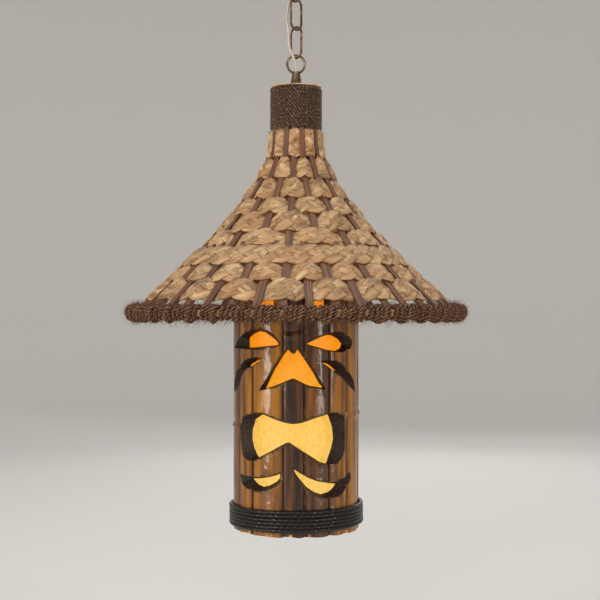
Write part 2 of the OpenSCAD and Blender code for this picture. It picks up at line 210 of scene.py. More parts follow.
def turnedWood(name, roughness, scale, distortion, dark, light):  # growth rings round the lamp's axis
    mat, shader = newMaterial(name, {"Roughness": roughness})
    coords = addNode(mat, "TexCoord")
    rings = addNode(mat, "TexWave", {"wave_type": "RINGS", "rings_direction": "Z"}, {
        "Vector": coords.outputs["Object"], "Scale": scale, "Distortion": distortion, "Detail": 3.0})
    tone = addNode(mat, "ValToRGB", inputs={0: rings.outputs[0]}, stops=[(0.2, dark), (0.8, light)])
    bump = addNode(mat, "Bump", {}, {"Height": rings.outputs[0], "Strength": 0.2, "Distance": 0.0003})
    wire(mat, shader, {"Base Color": tone.outputs[0], "Normal": bump.outputs[0]})
    return mat


def twistedLay(mat, perMetre, slant):  # the UV of a cord, in metres, and a wave along its twisted strands
    uv = addNode(mat, "UVMap", {"uv_map": "UVMap"})
    phase = addNode(mat, "VectorMath", {"operation": "DOT_PRODUCT"},
                    {0: uv.outputs[0], 1: (perMetre, slant, 0.0)})
    turn = addNode(mat, "Math", {"operation": "MULTIPLY"}, {0: phase.outputs["Value"], 1: tau})
    return uv, addNode(mat, "Math", {"operation": "SINE"}, {0: turn.outputs[0]})


# ---- camera, light and stage ----

studio = {"camera": (0.005, -1.58, -0.5023), "lens": 73.1, "key": 34, "fill": 22, "front": 16, "top": 18,
          "back": 12, "glow": 0.12, "glowBelowTop": 0.03, "world": 0.5, "backdrop": "#dcd9d4",
          "floor": -1.0}

camera = bpy.data.objects.new("camera", bpy.data.cameras.new("camera"))
camera.data.lens = studio["lens"]
camera.location = studio["camera"]
camera.rotation_euler = (math.pi / 2, 0, 0)
scene.collection.objects.link(camera)
scene.camera = camera
scene.view_settings.view_transform = "Standard"


def addLight(name, place, target, width, height, watts, colour):
    light = bpy.data.lights.new(name, "AREA")
    light.shape = "RECTANGLE"
    light.size = width
    light.size_y = height
    light.energy = watts
    light.color = linearColour(colour)[:3]
    lamp = bpy.data.objects.new(name, light)
    lamp.location = place
    lamp.rotation_euler = (Vector(target) - Vector(place)).to_track_quat("-Z", "Y").to_euler()
    scene.collection.objects.link(lamp)


addLight("keyStrip", (-1.85, -1.5, -0.25), (0, 0, -0.55), 0.4, 1.5, studio["key"], "#fff4e6")
addLight("fillStrip", (1.75, -1.6, -0.35), (0, 0, -0.55), 0.3, 1.3, studio["fill"], "#fff0e0")
addLight("frontLight", (-0.5, -2.3, 0.7), (0, 0, -0.45), 1.4, 0.9, studio["front"], "#fff8ee")
addLight("topLight", (0.2, 0.3, 1.5), (0, 0, -0.5), 1.6, 1.6, studio["top"], "#ffffff")
addLight("backLight", (0.4, 2.4, 0.3), (0, 0, -0.5), 1.6, 1.6, studio["back"], "#ffffff")
# What the bulb sends up through the open top of the drum
glow = bpy.data.objects.new("insideGlow", bpy.data.lights.new("insideGlow", "POINT"))
glow.data.energy = studio["glow"]
glow.data.color = linearColour("#ffb45a")[:3]
glow.data.shadow_soft_size = 0.02
glow.location = (0, 0, bodyHigh - studio["glowBelowTop"])
scene.collection.objects.link(glow)

world = bpy.data.worlds.new("studio")
world.use_nodes = True
world.node_tree.nodes["Background"].inputs[0].default_value = linearColour("#e9edf2")
world.node_tree.nodes["Background"].inputs[1].default_value = studio["world"]
scene.world = world

backdropPaint, shader = newMaterial("mattePaint", {"Base Color": studio["backdrop"], "Roughness": 0.9})
bm = bmesh.new()
coveProfile = [(0, 0), (2.6, 0), (3.2, 0.1), (3.7, 0.42), (4.0, 0.9), (4.15, 1.6), (4.2, 2.6)]
section = [bm.verts.new((x, 0, studio["floor"] + z)) for x, z in coveProfile]
section += [bm.edges.new(pair) for pair in zip(section, section[1:])]
bmesh.ops.spin(bm, geom=section, cent=(0, 0, 0), axis=(0, 0, 1), angle=tau, steps=64, use_merge=True)
bmesh.ops.remove_doubles(bm, verts=bm.verts, dist=0.0001)
bmesh.ops.recalc_face_normals(bm, faces=bm.faces)
mesh = bpy.data.meshes.new("studioCove")
bm.to_mesh(mesh)
bm.free()
if mesh.polygons[0].normal.z < 0:
    mesh.flip_normals()
mesh.shade_smooth()
mesh.materials.append(backdropPaint)
cove = bpy.data.objects.new("studioCove", mesh)
scene.collection.objects.link(cove)
print("camera, lights and stage ready")

# ---- cord ----

cordMake = {"diameter": 3.0, "sides": 12, "steps": 6}
cordRoute = [
    (0, 0, -206), (0, -0.5, -201), (-1, -2.5, -196), (-2.5, -4.5, -191), (-5, -5.5, -186), (-7.5, -5.5, -180),
    (-9, -5, -174), (-10, -4, -168), (-10, -3, -161), (-10, -2, -154), (-11, -2, -147), (-12, -2, -140),
    (-11.5, -2, -132), (-10.5, -2, -125), (-9.5, -1.5, -118), (-9, -1, -111), (-9, -0.5, -103), (-9, 0, -95),
    (-8.5, 1, -88), (-8, 2, -82), (-6.5, 2.5, -76), (-4, 2, -69), (-1.5, 1, -62), (0, 0, -56), (0, 0, -50)]
cordStretches = [("cord_1", 0, 7, "lamp", "link_1"), ("cord_2", 7, 12, "link_1", "link_2"),
                 ("cord_3", 12, 17, "link_2", "link_3"), ("cord_4", 17, 24, "link_3", "ceiling_fitting")]

# Extruded vinyl lamp cord: pale, slightly glossy, yellowed a little unevenly
vinylCord, shader = newMaterial("extrudedVinyl", {"Roughness": 0.38, "Specular IOR Level": 0.5})
uv = addNode(vinylCord, "UVMap", {"uv_map": "UVMap"})
patches = addNode(vinylCord, "TexNoise", inputs={"Vector": uv.outputs[0], "Scale": 90.0, "Detail": 3.0})
tone = addNode(vinylCord, "ValToRGB", inputs={0: patches.outputs[0]},
               stops=[(0.3, "#a3978c"), (0.7, "#cbc0b6")])
ribs = addNode(vinylCord, "Bump", {}, {"Height": patches.outputs[0], "Strength": 0.15, "Distance": 0.0003})
wire(vinylCord, shader, {"Base Color": tone.outputs[0], "Normal": ribs.outputs[0]})


def smoothRoute(points, steps):  # Catmull-Rom through the route's points, in metres
    fine = []
    for i in range(len(points) - 1):
        p0, p1 = Vector(points[max(i - 1, 0)]), Vector(points[i])
        p2, p3 = Vector(points[i + 1]), Vector(points[min(i + 2, len(points) - 1)])
        for k in range(steps):
            t = k / steps
            fine.append((0.5 * (2 * p1 + (p2 - p0) * t + (2 * p0 - 5 * p1 + 4 * p2 - p3) * t * t
                                + (3 * p1 - p0 - 3 * p2 + p3) * t ** 3)) * mm)
    fine.append(Vector(points[-1]) * mm)
    return fine


cordLine = smoothRoute(cordRoute, cordMake["steps"])
for node, first, last, lower, upper in cordStretches:
    line = cordLine[first * cordMake["steps"]:last * cordMake["steps"] + 1]
    bm = bmesh.new()
    addTube(bm, line, cordMake["diameter"] * mm / 2, cordMake["sides"])
    piece = addPiece(bm, "lampCord" + node[-1], vinylCord, None, [node])
    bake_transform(piece)
print("cord made")

# ---- metals, wood and small fittings that keep their shape ----


def dress(material, *nodes):
    for name in nodes:
        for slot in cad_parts[name].material_slots:
            slot.material = material


def castMetal(name, dark, light, roughness, metallic, grain):  # a metal finish with patches and fine pitting
    mat, shader = newMaterial(name, {"Metallic": metallic})
    coords = addNode(mat, "TexCoord")
    patches = addNode(mat, "TexNoise", inputs={"Vector": coords.outputs["Object"], "Scale": 120.0,
                                               "Detail": 5.0})
    pits = addNode(mat, "TexNoise", inputs={"Vector": coords.outputs["Object"], "Scale": grain,
                                            "Detail": 2.0})
    tone = addNode(mat, "ValToRGB", inputs={0: patches.outputs[0]}, stops=[(0.36, dark), (0.66, light)])
    wear = addNode(mat, "MapRange", inputs={0: patches.outputs[0], 1: 0.3, 2: 0.7, 3: roughness + 0.12,
                                            4: roughness})
    bump = addNode(mat, "Bump", {}, {"Height": pits.outputs[0], "Strength": 0.25, "Distance": 0.0002})
    wire(mat, shader, {"Base Color": tone.outputs[0], "Roughness": wear.outputs[0],
                       "Normal": bump.outputs[0]})
    return mat


# Dark, rubbed bright in places
antiqueBronze = castMetal("antiqueBronze", "#3c2f22", "#8a765c", 0.34, 0.85, 1400.0)
zincPlate = castMetal("zincPlatedSteel", "#8c8c89", "#b4b4b0", 0.36, 1.0, 1800.0)  # grey, slightly clouded
spunBrass = castMetal("spunBrass", "#93733e", "#c09a58", 0.3, 1.0, 1600.0)  # dull yellow lamp brass
bareAluminium = castMetal("bareAluminium", "#b2b2ae", "#d2d2ce", 0.3, 1.0, 1600.0)  # bright screw cap
darkSteel = castMetal("blackenedSteel", "#2c2622", "#54493f", 0.45, 0.8, 1500.0)  # nail heads
dress(antiqueBronze, "canopy", "collar_ring", "canopy_loop", "link_3", "link_2", "link_1", "hang_loop")
dress(zincPlate, "ceiling_bracket", "spider", "spider_screws")
dress(spunBrass, "canopy_nipple", "canopy_locknut", "lamp_rod", "rod_nuts", "socket_cap", "socket_shell",
      "screw_shell")
dress(bareAluminium, "bulb_cap")
dress(darkSteel, "slat_nails")

# Glazed porcelain: off-white, glossy, faintly uneven
glazedPorcelain = cloudyMaterial(
    "glazedPorcelain", {"Roughness": 0.12, "Coat Weight": 0.5}, 60.0, "#ddd6c6", "#eee9dc")
dress(glazedPorcelain, "socket_core")

# Turned softwood: wavy rings about 3.5 mm apart, pale and matt
turnedPine = turnedWood("turnedPine", 0.6, 90.0, 3.0, "#8c6a40", "#b3915e")
dress(turnedPine, "neck_core", "hoop_top", "hoop_bottom", "rim_hoop")

# Supply lead inside the metal: the same vinyl, on Object coordinates
leadVinyl = cloudyMaterial("leadVinyl", {"Roughness": 0.4}, 90.0, "#a3978c", "#cbc0b6")
dress(leadVinyl, "ceiling_lead", "inner_lead")

# Frosted bulb glass, lit: warm white, a little uneven
frostedGlass = cloudyMaterial(
    "frostedGlass", {"Base Color": "#fff3d0", "Roughness": 0.5, "Emission Strength": 2.2}, 30.0,
    "#ffe0a0", "#fff0cc", "Emission Color")
dress(frostedGlass, "bulb_glass")

# Amber parchment liner: cast fibre sheet, lit from inside, palest beside the bulb and orange above it
litParchment, shader = newMaterial("litParchment",
                                   {"Base Color": "#5a3a14", "Roughness": 0.6, "Emission Strength": 0.92})
coords = addNode(litParchment, "TexCoord")
split = addNode(litParchment, "SeparateXYZ", inputs={0: coords.outputs["Object"]})
level = addNode(litParchment, "MapRange", inputs={0: split.outputs[2], 1: -0.79, 2: -0.488})
mottle = addNode(litParchment, "TexNoise", inputs={"Vector": coords.outputs["Object"], "Scale": 70.0,
                                                   "Detail": 6.0})
shifted = addNode(litParchment, "Math", {"operation": "MULTIPLY_ADD"},
                  {0: mottle.outputs[0], 1: 0.12, 2: level.outputs[0]})
tone = addNode(litParchment, "ValToRGB", inputs={0: shifted.outputs[0]}, stops=[
    (0.06, "#ffbc50"), (0.24, "#ffd06c"), (0.5, "#ffcb5c"), (0.66, "#ffaa28"), (0.8, "#ff9c18"),
    (0.94, "#ff9414")])
fibres = stretchedNoise(litParchment, coords.outputs["Object"], (260.0, 260.0, 170.0), 4.0)
fibreTone = addNode(litParchment, "ValToRGB", inputs={0: fibres.outputs[0]},
                    stops=[(0.35, "#e0c8a0"), (0.55, "#ffffff")])
lit = addNode(litParchment, "Mix", {"data_type": "RGBA", "blend_type": "MULTIPLY"},
              {0: 0.4, 6: tone.outputs[0], 7: fibreTone.outputs[0]})
wire(litParchment, shader, {"Emission Color": lit.outputs[2]})
dress(litParchment, "liner")
print("fittings dressed")

# ---- hat: ribs and plaited rows ----

hatShape = {"bezier": [(neckRadius / mm, 0), (19.5, 60.5), (128.7, 163.4), (206.7, 232.7)], "samples": 400}
hatTable = []
for i in range(hatShape["samples"] + 1):
    t = i / hatShape["samples"]
    weights = ((1 - t) ** 3, 3 * t * (1 - t) ** 2, 3 * t * t * (1 - t), t ** 3)
    slopes = (-3 * (1 - t) ** 2, 3 * (1 - t) ** 2 - 6 * t * (1 - t), 6 * t * (1 - t) - 3 * t * t, 3 * t * t)
    radius = sum(w * p[0] for w, p in zip(weights, hatShape["bezier"]))
    drop = sum(w * p[1] for w, p in zip(weights, hatShape["bezier"]))
    slope = Vector((sum(w * p[0] for w, p in zip(slopes, hatShape["bezier"])),
                    sum(w * p[1] for w, p in zip(slopes, hatShape["bezier"])))).normalized()
    hatTable.append((drop, radius, slope.x, slope.y))


def hatProfile(drop):  # radius in mm and slope at a drop below the neck
    low, high = 0, len(hatTable) - 1
    while high - low > 1:
        middle = (low + high) // 2
        low, high = (middle, high) if hatTable[middle][0] <= drop else (low, middle)
    a, b = hatTable[low], hatTable[high]
    t = (drop - a[0]) / max(1e-6, b[0] - a[0])
    return [a[k] + (b[k] - a[k]) * t for k in (1, 2, 3)]


def onHat(angle, drop, out):  # a point on the hat, out mm off its surface
    radius, slopeR, slopeD = hatProfile(drop)
    return facePoint(angle, (radius + slopeD * out) * mm, neckBottom + (-drop + slopeR * out) * mm)


# Plaited palm leaf: straw-coloured strips with fine veins along them, dull, with painted shade darkening the
# strip edges
palmLeaf, shader = newMaterial("driedPalmLeaf", {"Roughness": 0.62, "Specular IOR Level": 0.35})
uv = addNode(palmLeaf, "UVMap", {"uv_map": "UVMap"})
veinMap = addNode(palmLeaf, "Mapping", inputs={0: uv.outputs[0], 3: (30.0, 1100.0, 1.0)})  # 0.9 mm apart
veins = addNode(palmLeaf, "TexNoise", inputs={"Vector": veinMap.outputs[0], "Scale": 1.0, "Detail": 4.0,
                                              "Roughness": 0.6})
toneMap = addNode(palmLeaf, "Mapping", inputs={0: uv.outputs[0], 3: (34.0, 110.0, 1.0)})
toneNoise = addNode(palmLeaf, "TexNoise", inputs={"Vector": toneMap.outputs[0], "Scale": 1.0, "Detail": 3.0})
both = addNode(palmLeaf, "Mix", {"data_type": "FLOAT"},
               {0: 0.5, 2: veins.outputs[0], 3: toneNoise.outputs[0]})
strandTone = addNode(palmLeaf, "Attribute", {"attribute_name": "tone"})
lift = addNode(palmLeaf, "Math", {"operation": "MULTIPLY_ADD"},
               {0: strandTone.outputs["Fac"], 1: 0.1, 2: both.outputs[0]})
tone = addNode(palmLeaf, "ValToRGB", inputs={0: lift.outputs[0]}, stops=[
    (0.36, "#543d28"), (0.46, "#87694a"), (0.56, "#ab8b64"), (0.68, "#c9ad85"), (0.82, "#e2ceab")])
toast = addNode(palmLeaf, "TexNoise", inputs={"Vector": toneMap.outputs[0], "Scale": 0.4, "Detail": 2.0})
toasted = addNode(palmLeaf, "MapRange", inputs={0: toast.outputs[0], 1: 0.5, 2: 0.68, 3: 0.0, 4: 0.55})
warm = addNode(palmLeaf, "Mix", {"data_type": "RGBA", "blend_type": "MULTIPLY"},
               {0: toasted.outputs[0], 6: tone.outputs[0], 7: "#e0a468"})
# Painted shade: the strips darken towards their edges, where they tuck under the next strand
edge = addNode(palmLeaf, "Attribute", {"attribute_name": "edge"})
rim = addNode(palmLeaf, "MapRange", inputs={0: edge.outputs["Fac"], 1: 0.75, 2: 1.0, 3: 0.0, 4: 0.55})
shade = addNode(palmLeaf, "Mix", {"data_type": "RGBA"}, {0: rim.outputs[0], 6: warm.outputs[2], 7: "#6b4c30"})
bump = addNode(palmLeaf, "Bump", {}, {"Height": veins.outputs[0], "Strength": 0.55, "Distance": 0.0006})
wire(palmLeaf, shader, {"Base Color": shade.outputs[2], "Normal": bump.outputs[0]})

# Split bamboo, weathered: reddish brown with open grain lines 0.7 mm apart
splitBamboo, shader = newMaterial("splitBamboo", {"Roughness": 0.55})
uv = addNode(splitBamboo, "UVMap", {"uv_map": "UVMap"})
grain = stretchedNoise(splitBamboo, uv.outputs[0], (14.0, 1400.0, 1.0), 4.0)
tone = addNode(splitBamboo, "ValToRGB", inputs={0: grain.outputs[0]}, stops=[
    (0.34, "#2e190d"), (0.46, "#55341f"), (0.58, "#74492c"), (0.72, "#966c46")])
bump = addNode(splitBamboo, "Bump", {}, {"Height": grain.outputs[0], "Strength": 0.7, "Distance": 0.0005})
wire(splitBamboo, shader, {"Base Color": tone.outputs[0], "Normal": bump.outputs[0]})

ribMake = {"longCount": 20, "first": 13.5, "neckWidth": 6.4, "rimWidth": 9.6, "thickness": 2.0,
           "shortFrom": 148, "end": 229, "steps": 46, "tuck": 6, "jitter": 0.6, "bevel": 0.4}


def addRib(bm, angle, start, seed):
    def place(u, v):
        drop = start + (ribMake["end"] - start) * u
        spread = smoothStep(max(0, drop), 0, 200)
        width = ribMake["neckWidth"] + (ribMake["rimWidth"] - ribMake["neckWidth"]) * spread
        width *= 1 + 0.1 * noise.noise(Vector((drop * 0.03, seed, 0)))
        across = (v - 0.5) * width
        bend = 0.9 * noise.noise(Vector((drop * 0.02, seed, 5)))
        out = -0.1 + 0.5 * (1 - (2 * v - 1) ** 2) + 0.35 * noise.noise(Vector((drop * 0.05, seed, 9)))
        point = onHat(angle, max(0, drop), out - 1.6 * smoothStep(-drop, -ribMake["tuck"], 0))
        if drop < 0:  # tucked under the twine
            point -= facePoint(angle, -drop * 0.8 * mm, drop * mm)
        side = facePoint(angle + 90, 1, 0)
        point += side * (across + bend) * mm
        return point, (drop * mm + seed * 0.37, across * mm + seed * 0.011), abs(2 * v - 1)

    addStrip(bm, ribMake["steps"], 4, place)


bm = bmesh.new()
for i in range(ribMake["longCount"]):
    angle = ribMake["first"] + i * 360 / ribMake["longCount"]
    addRib(bm, angle + rng.uniform(-1, 1) * ribMake["jitter"], -ribMake["tuck"], i)
    shortAngle = angle + 180 / ribMake["longCount"] + rng.uniform(-1, 1) * ribMake["jitter"]
    addRib(bm, shortAngle, ribMake["shortFrom"], i + 2 * ribMake["longCount"])
turnOutwards(bm)
hatRibs = addPiece(bm, "hatRibs", splitBamboo, "lamp", ["hat_ribs"], closed=False)


def thicken(piece, thickness, bevel=0.0):
    solid = piece.modifiers.new("thickness", "SOLIDIFY")
    solid.thickness = thickness
    solid.offset = 0
    if bevel:
        soft = piece.modifiers.new("softEdge", "BEVEL")
        soft.width = bevel
        soft.segments = 2
        soft.limit_method = "ANGLE"


thicken(hatRibs, ribMake["thickness"] * mm, ribMake["bevel"] * mm)
print("ribs made")

plaitMake = {"period": 78, "lift": 0.8, "leaf": 0.5, "sway": 2.5, "pinchTop": 0.32, "pinchLow": 0.12,
             "overlap": 1.3, "stepsPerPlait": 22, "strands": 4}
# Each row: top and bottom drop, angle of the first rib in front of it, and the step between such ribs
plaitRows = [(-1, 38, 13.5, 36), (37.6, 65.6, -4.5, 36), (65.6, 92, 13.5, 36), (90.8, 112.7, -4.5, 36),
             (108.8, 136, 13.5, 36), (132.5, 152.8, -4.5, 36), (152.8, 177.6, 0, 0), (175, 197, 13.5, 18),
             (193.4, 220, 4.5, 18)]


def addPlaitRow(row):
    top, bottom, firstRib, ribStep = plaitRows[row]
    middle = (top + bottom) / 2
    radius, _, slopeD = hatProfile(middle)
    half = (bottom - top) / 2 / slopeD  # half width along the slope
    around = tau * radius
    count = max(3, round(around / plaitMake["period"]))
    period = around / count
    reach = half * 0.74
    strand = period / plaitMake["strands"] * math.sin(math.atan2(4 * reach, period)) * plaitMake["overlap"]
    lateralLimit = half * 1.02

    def onBand(along, across, height):  # mm along and across the flat band, and above its middle
        angle = along / around * 360
        lump = ringNoise(angle, 6, row * 7.3)
        if ribStep:
            wave = math.cos(math.radians((angle - firstRib) * 360 / ribStep))
            wave = math.copysign(abs(wave) ** 0.6, wave)
            pinch = smoothStep(wave, 0.25, 1.0)
            out = 0.1 - wave * plaitMake["sway"] + 0.8 * lump
        else:
            pinch = 0.15 + 0.15 * math.cos(math.radians((angle + 4.5) * 20))
            out = 2.6 - 0.5 * pinch + 0.8 * lump
        v = across / half
        bulge = 1 - 0.5 * pinch - v * v
        v *= 1 - (plaitMake["pinchTop"] * (row > 0) if v < 0 else plaitMake["pinchLow"]) * pinch
        v += 0.16 * ringNoise(angle, 9, row * 3.1 + 50) * (row > 0) + 0.03
        drop = middle + v * (bottom - top) / 2
        return onHat(angle, max(0.2, drop), out + height + 0.8 * bulge)

    bm = bmesh.new()
    for k in range(plaitMake["strands"]):
        offset = rng.uniform(0, 5)
        shade = rng.uniform(0, 1)

        def centre(x):  # x in periods along the band
            y = (x + k / plaitMake["strands"]) % 1.0
            side = 4 * abs(y - 0.5) - 1  # 1 at one fold, -1 at the other
            side = math.copysign(abs(side) ** 1.12, side)
            rising = -1 if y < 0.5 else 1
            fade = smoothStep(1 - abs(side), 0.0, 0.45)
            return x * period, side * reach, rising * plaitMake["lift"] * math.cos(8 * math.pi * y) * fade

        def place(u, v):
            x = u * count
            along, across, height = centre(x)
            a1, c1, _ = centre(x + 0.012)
            a0, c0, _ = centre(x - 0.012)
            da, dc = a1 - a0, c1 - c0
            size = math.hypot(da, dc)
            edgeSide = 2 * v - 1
            wide = strand * (0.5 + 0.12 * noise.noise(Vector((x * 2.2, k * 3.1, row))))
            sideways = edgeSide * wide
            newAcross = across + da / size * sideways
            newAlong = along - dc / size * sideways
            if abs(newAcross) > lateralLimit:
                newAcross = math.copysign(lateralLimit + 0.25 * (abs(newAcross) - lateralLimit), newAcross)
            crown = 0.28 * (1 - edgeSide * edgeSide)
            uv = (x * period * mm * 1.2 + offset, (edgeSide * strand / 2) * mm + shade + 0.3 * k)
            return onBand(newAlong, newAcross, height + crown), uv, abs(edgeSide)

        addStrip(bm, count * plaitMake["stepsPerPlait"], 4, place, merge=True, tone=rng.random())
    turnOutwards(bm)
    name = "plaitRow" + str(row + 1)
    piece = addPiece(bm, name, palmLeaf, "lamp", ["braid_row_" + str(row + 1)], closed=False)
    thicken(piece, plaitMake["leaf"] * mm)


for row in range(len(plaitRows)):
    addPlaitRow(row)
print("plaited rows made")

# ---- rim: hoop, wound coir rope, lashings and loose fibres ----

# Coir rope: dark brown twisted fibre, dull, with paler stray fibres, and painted shade and highlight along
# the twist
coirRope, shader = newMaterial("coirRope", {"Roughness": 0.8, "Specular IOR Level": 0.3})
uv, twist = twistedLay(coirRope, 160.0, 3.0)  # 6 mm lay
fibreMap = addNode(coirRope, "Mapping", inputs={0: uv.outputs[0], 3: (300.0, 26.0, 1.0), 2: (0.0, 0.0, 0.4)})
fibre = addNode(coirRope, "TexNoise", inputs={"Vector": fibreMap.outputs[0], "Scale": 1.0, "Detail": 5.0})
# Painted shade and highlight: the twist wave darkens the grooves between strands and lightens their crests;
# the fibre noise is the rope's own colour
height = addNode(coirRope, "Math", {"operation": "MULTIPLY_ADD"},
                 {0: twist.outputs[0], 1: 0.3, 2: fibre.outputs[0]})
tone = addNode(coirRope, "ValToRGB", inputs={0: height.outputs[0]}, stops=[
    (0.2, "#20130c"), (0.45, "#48301f"), (0.65, "#664530"), (0.9, "#9a7455")])
bump = addNode(coirRope, "Bump", {}, {"Height": height.outputs[0], "Strength": 0.8, "Distance": 0.0009})
wire(coirRope, shader, {"Base Color": tone.outputs[0], "Normal": bump.outputs[0]})

ropeMake = {"turns": 200, "rope": 5.2, "stepsPerTurn": 18, "sides": 7, "bunch": 0.48}
woundRadius = rimThick / 2 - ropeMake["rope"] * mm / 2


def ropeAngle(turn):  # the turns bunch up between the ribs, which tie the rim every 9 degrees
    angle = turn * 360 / ropeMake["turns"]
    angle += ropeMake["bunch"] * math.sin(math.radians((angle - ribMake["first"]) * 40))
    return angle + 0.7 * noise.noise(Vector((turn * 0.8, 2, 0)))


path = []
for i in range(ropeMake["turns"] * ropeMake["stepsPerTurn"] + 1):
    turn = i / ropeMake["stepsPerTurn"]
    angle = ropeAngle(turn)
    around = turn * tau
    tie = 0.5 + 0.5 * math.cos(math.radians((angle - ribMake["first"]) * 40))
    r = woundRadius * (1 - 0.16 * tie ** 3 + 0.10 * ringNoise(angle, 30, 3.0))
    r += 1.4 * mm * noise.noise(Vector((turn * 2.6, 0, 8)))
    path.append(facePoint(angle, rimRadius + r * math.cos(around), rimZ + r * math.sin(around)))
bm = bmesh.new()
addTube(bm, path, ropeMake["rope"] * mm / 2, ropeMake["sides"], wobble=0.25)
addPiece(bm, "rimRope", coirRope, "lamp", ["rim_wrap"])

lashMake = {"count": 40, "rope": 4.6, "slant": 2.1, "steps": 18, "from": -200, "sweep": 250, "sides": 8}
bm = bmesh.new()
for i in range(lashMake["count"]):
    middle = ribMake["first"] + 4.5 + i * 360 / lashMake["count"] + rng.uniform(-0.8, 0.8)
    line = []
    for k in range(lashMake["steps"] + 1):
        t = k / lashMake["steps"]
        around = math.radians(lashMake["from"] + lashMake["sweep"] * t)
        r = woundRadius + (2.6 + 0.6 * math.sin(t * math.pi)) * mm
        angle = middle + lashMake["slant"] * (t - 0.5) * 1.5
        line.append(facePoint(angle, rimRadius + r * math.cos(around), rimZ + r * math.sin(around)))
    addTube(bm, line, lashMake["rope"] * mm / 2, lashMake["sides"], wobble=0.3)
addPiece(bm, "rimLashings", coirRope, "lamp")

fuzzMake = {"count": 9000, "width": 0.34, "length": 9}


def addFibre(bm, line, radius):  # three-sided thread that tapers to its end
    uvLayer = bm.loops.layers.uv.get("UVMap") or bm.loops.layers.uv.new("UVMap")
    along = (line[-1] - line[0]).normalized()
    side = along.orthogonal().normalized()
    other = along.cross(side)
    rings = []
    for i, point in enumerate(line):
        thick = radius * (1 - 0.35 * i)
        rings.append([bm.verts.new(point + thick * (math.cos(a) * side + math.sin(a) * other))
                      for a in (0, tau / 3, 2 * tau / 3)])
    faces = [bm.faces.new((low[k], low[(k + 1) % 3], high[(k + 1) % 3], high[k]))
             for low, high in zip(rings, rings[1:]) for k in range(3)]
    faces += [bm.faces.new(rings[0][::-1]), bm.faces.new(rings[-1])]
    length = (line[-1] - line[0]).length
    for face in faces:
        for loop in face.loops:
            loop[uvLayer].uv = (loop.vert.co.x * 3 + length, loop.vert.co.y * 3)


bm = bmesh.new()
for i in range(fuzzMake["count"]):
    angle = rng.uniform(0, 360)
    around = rng.uniform(0, tau)
    root = facePoint(angle, rimRadius + woundRadius * math.cos(around), rimZ + woundRadius * math.sin(around))
    outward = (facePoint(angle, math.cos(around), math.sin(around))).normalized()
    drift = Vector((rng.uniform(-1, 1), rng.uniform(-1, 1), rng.uniform(-1, 1)))
    heading = (outward * 0.45 + drift * 0.9 + Vector((0, 0, -0.25))).normalized()
    reach = rng.uniform(0.5, 1) * fuzzMake["length"] * mm
    base = root + outward * 2 * mm
    line = [base, base + heading * reach * 0.5,
            base - outward * 0.5 * mm + heading * reach + drift * reach * 0.25]
    addFibre(bm, line, fuzzMake["width"] * mm / 2)
addPiece(bm, "rimFibres", coirRope, "lamp")
print("rim made")

# ---- neck: waxed twine over the wooden core, and its cap ----

# Waxed two-ply twine: dark brown, slightly shiny, with pale specks of wear, and painted shade and highlight
# along the twist
waxedTwine, shader = newMaterial("waxedTwine", {"Roughness": 0.5})
uv, twist = twistedLay(waxedTwine, 241.8, 2.0)  # 4 mm lay
speck = stretchedNoise(waxedTwine, uv.outputs[0], (260.0, 2.0, 1.0), 4.0)
# Painted shade and highlight: the twist wave darkens the grooves between the plies and lightens their crests;
# the specks are wear
mixed = addNode(waxedTwine, "Math", {"operation": "MULTIPLY_ADD"},
                {0: twist.outputs[0], 1: 0.2, 2: speck.outputs[0]})
tone = addNode(waxedTwine, "ValToRGB", inputs={0: mixed.outputs[0]}, stops=[
    (0.3, "#150a06"), (0.5, "#3a1f12"), (0.66, "#5c3823"), (0.8, "#b08c64")])
bump = addNode(waxedTwine, "Bump", {}, {"Height": twist.outputs[0], "Strength": 0.9, "Distance": 0.0009})
wire(waxedTwine, shader, {"Base Color": tone.outputs[0], "Normal": bump.outputs[0]})

twineMake = {"turns": 22, "steps": 96, "sides": 8, "sleeveSteps": 64, "sleeveEnd": 1}
twineRise = (neckTop - neckBottom) / twineMake["turns"]
bm = bmesh.new()
path = []
for i in range(twineMake["turns"] * twineMake["steps"] + 1):
    turn = i / twineMake["steps"]
    z = neckBottom + twineRise * (0.5 + turn * (twineMake["turns"] - 1) / twineMake["turns"])
    swell = 0.45 * mm * noise.noise(Vector((turn * 1.7, 0, 4)))
    path.append(facePoint(turn * 360, neckRadius - twineRise / 2 + swell,
                          z + 0.2 * mm * math.sin(turn * 2.9)))
addTube(bm, path, twineRise * 0.5, twineMake["sides"])
addPiece(bm, "neckTwine", waxedTwine, "lamp")
bm = bmesh.new()  # sleeve under the twine, so that no core shows between the turns
sleeve = neckRadius - twineRise * 0.72
sleeveLow = neckBottom + twineMake["sleeveEnd"] * mm
sleeveHigh = neckTop - twineMake["sleeveEnd"] * mm


def placeSleeve(u, v):
    return facePoint(u * 360, sleeve, sleeveLow + v * (sleeveHigh - sleeveLow)), (u * tau * sleeve, v), 0.0


addStrip(bm, twineMake["sleeveSteps"], 1, placeSleeve, merge=True)
turnOutwards(bm)
neckSleeve = addPiece(bm, "neckSleeve", waxedTwine, "lamp", ["neck_wrap"], closed=False)
thicken(neckSleeve, 1 * mm)

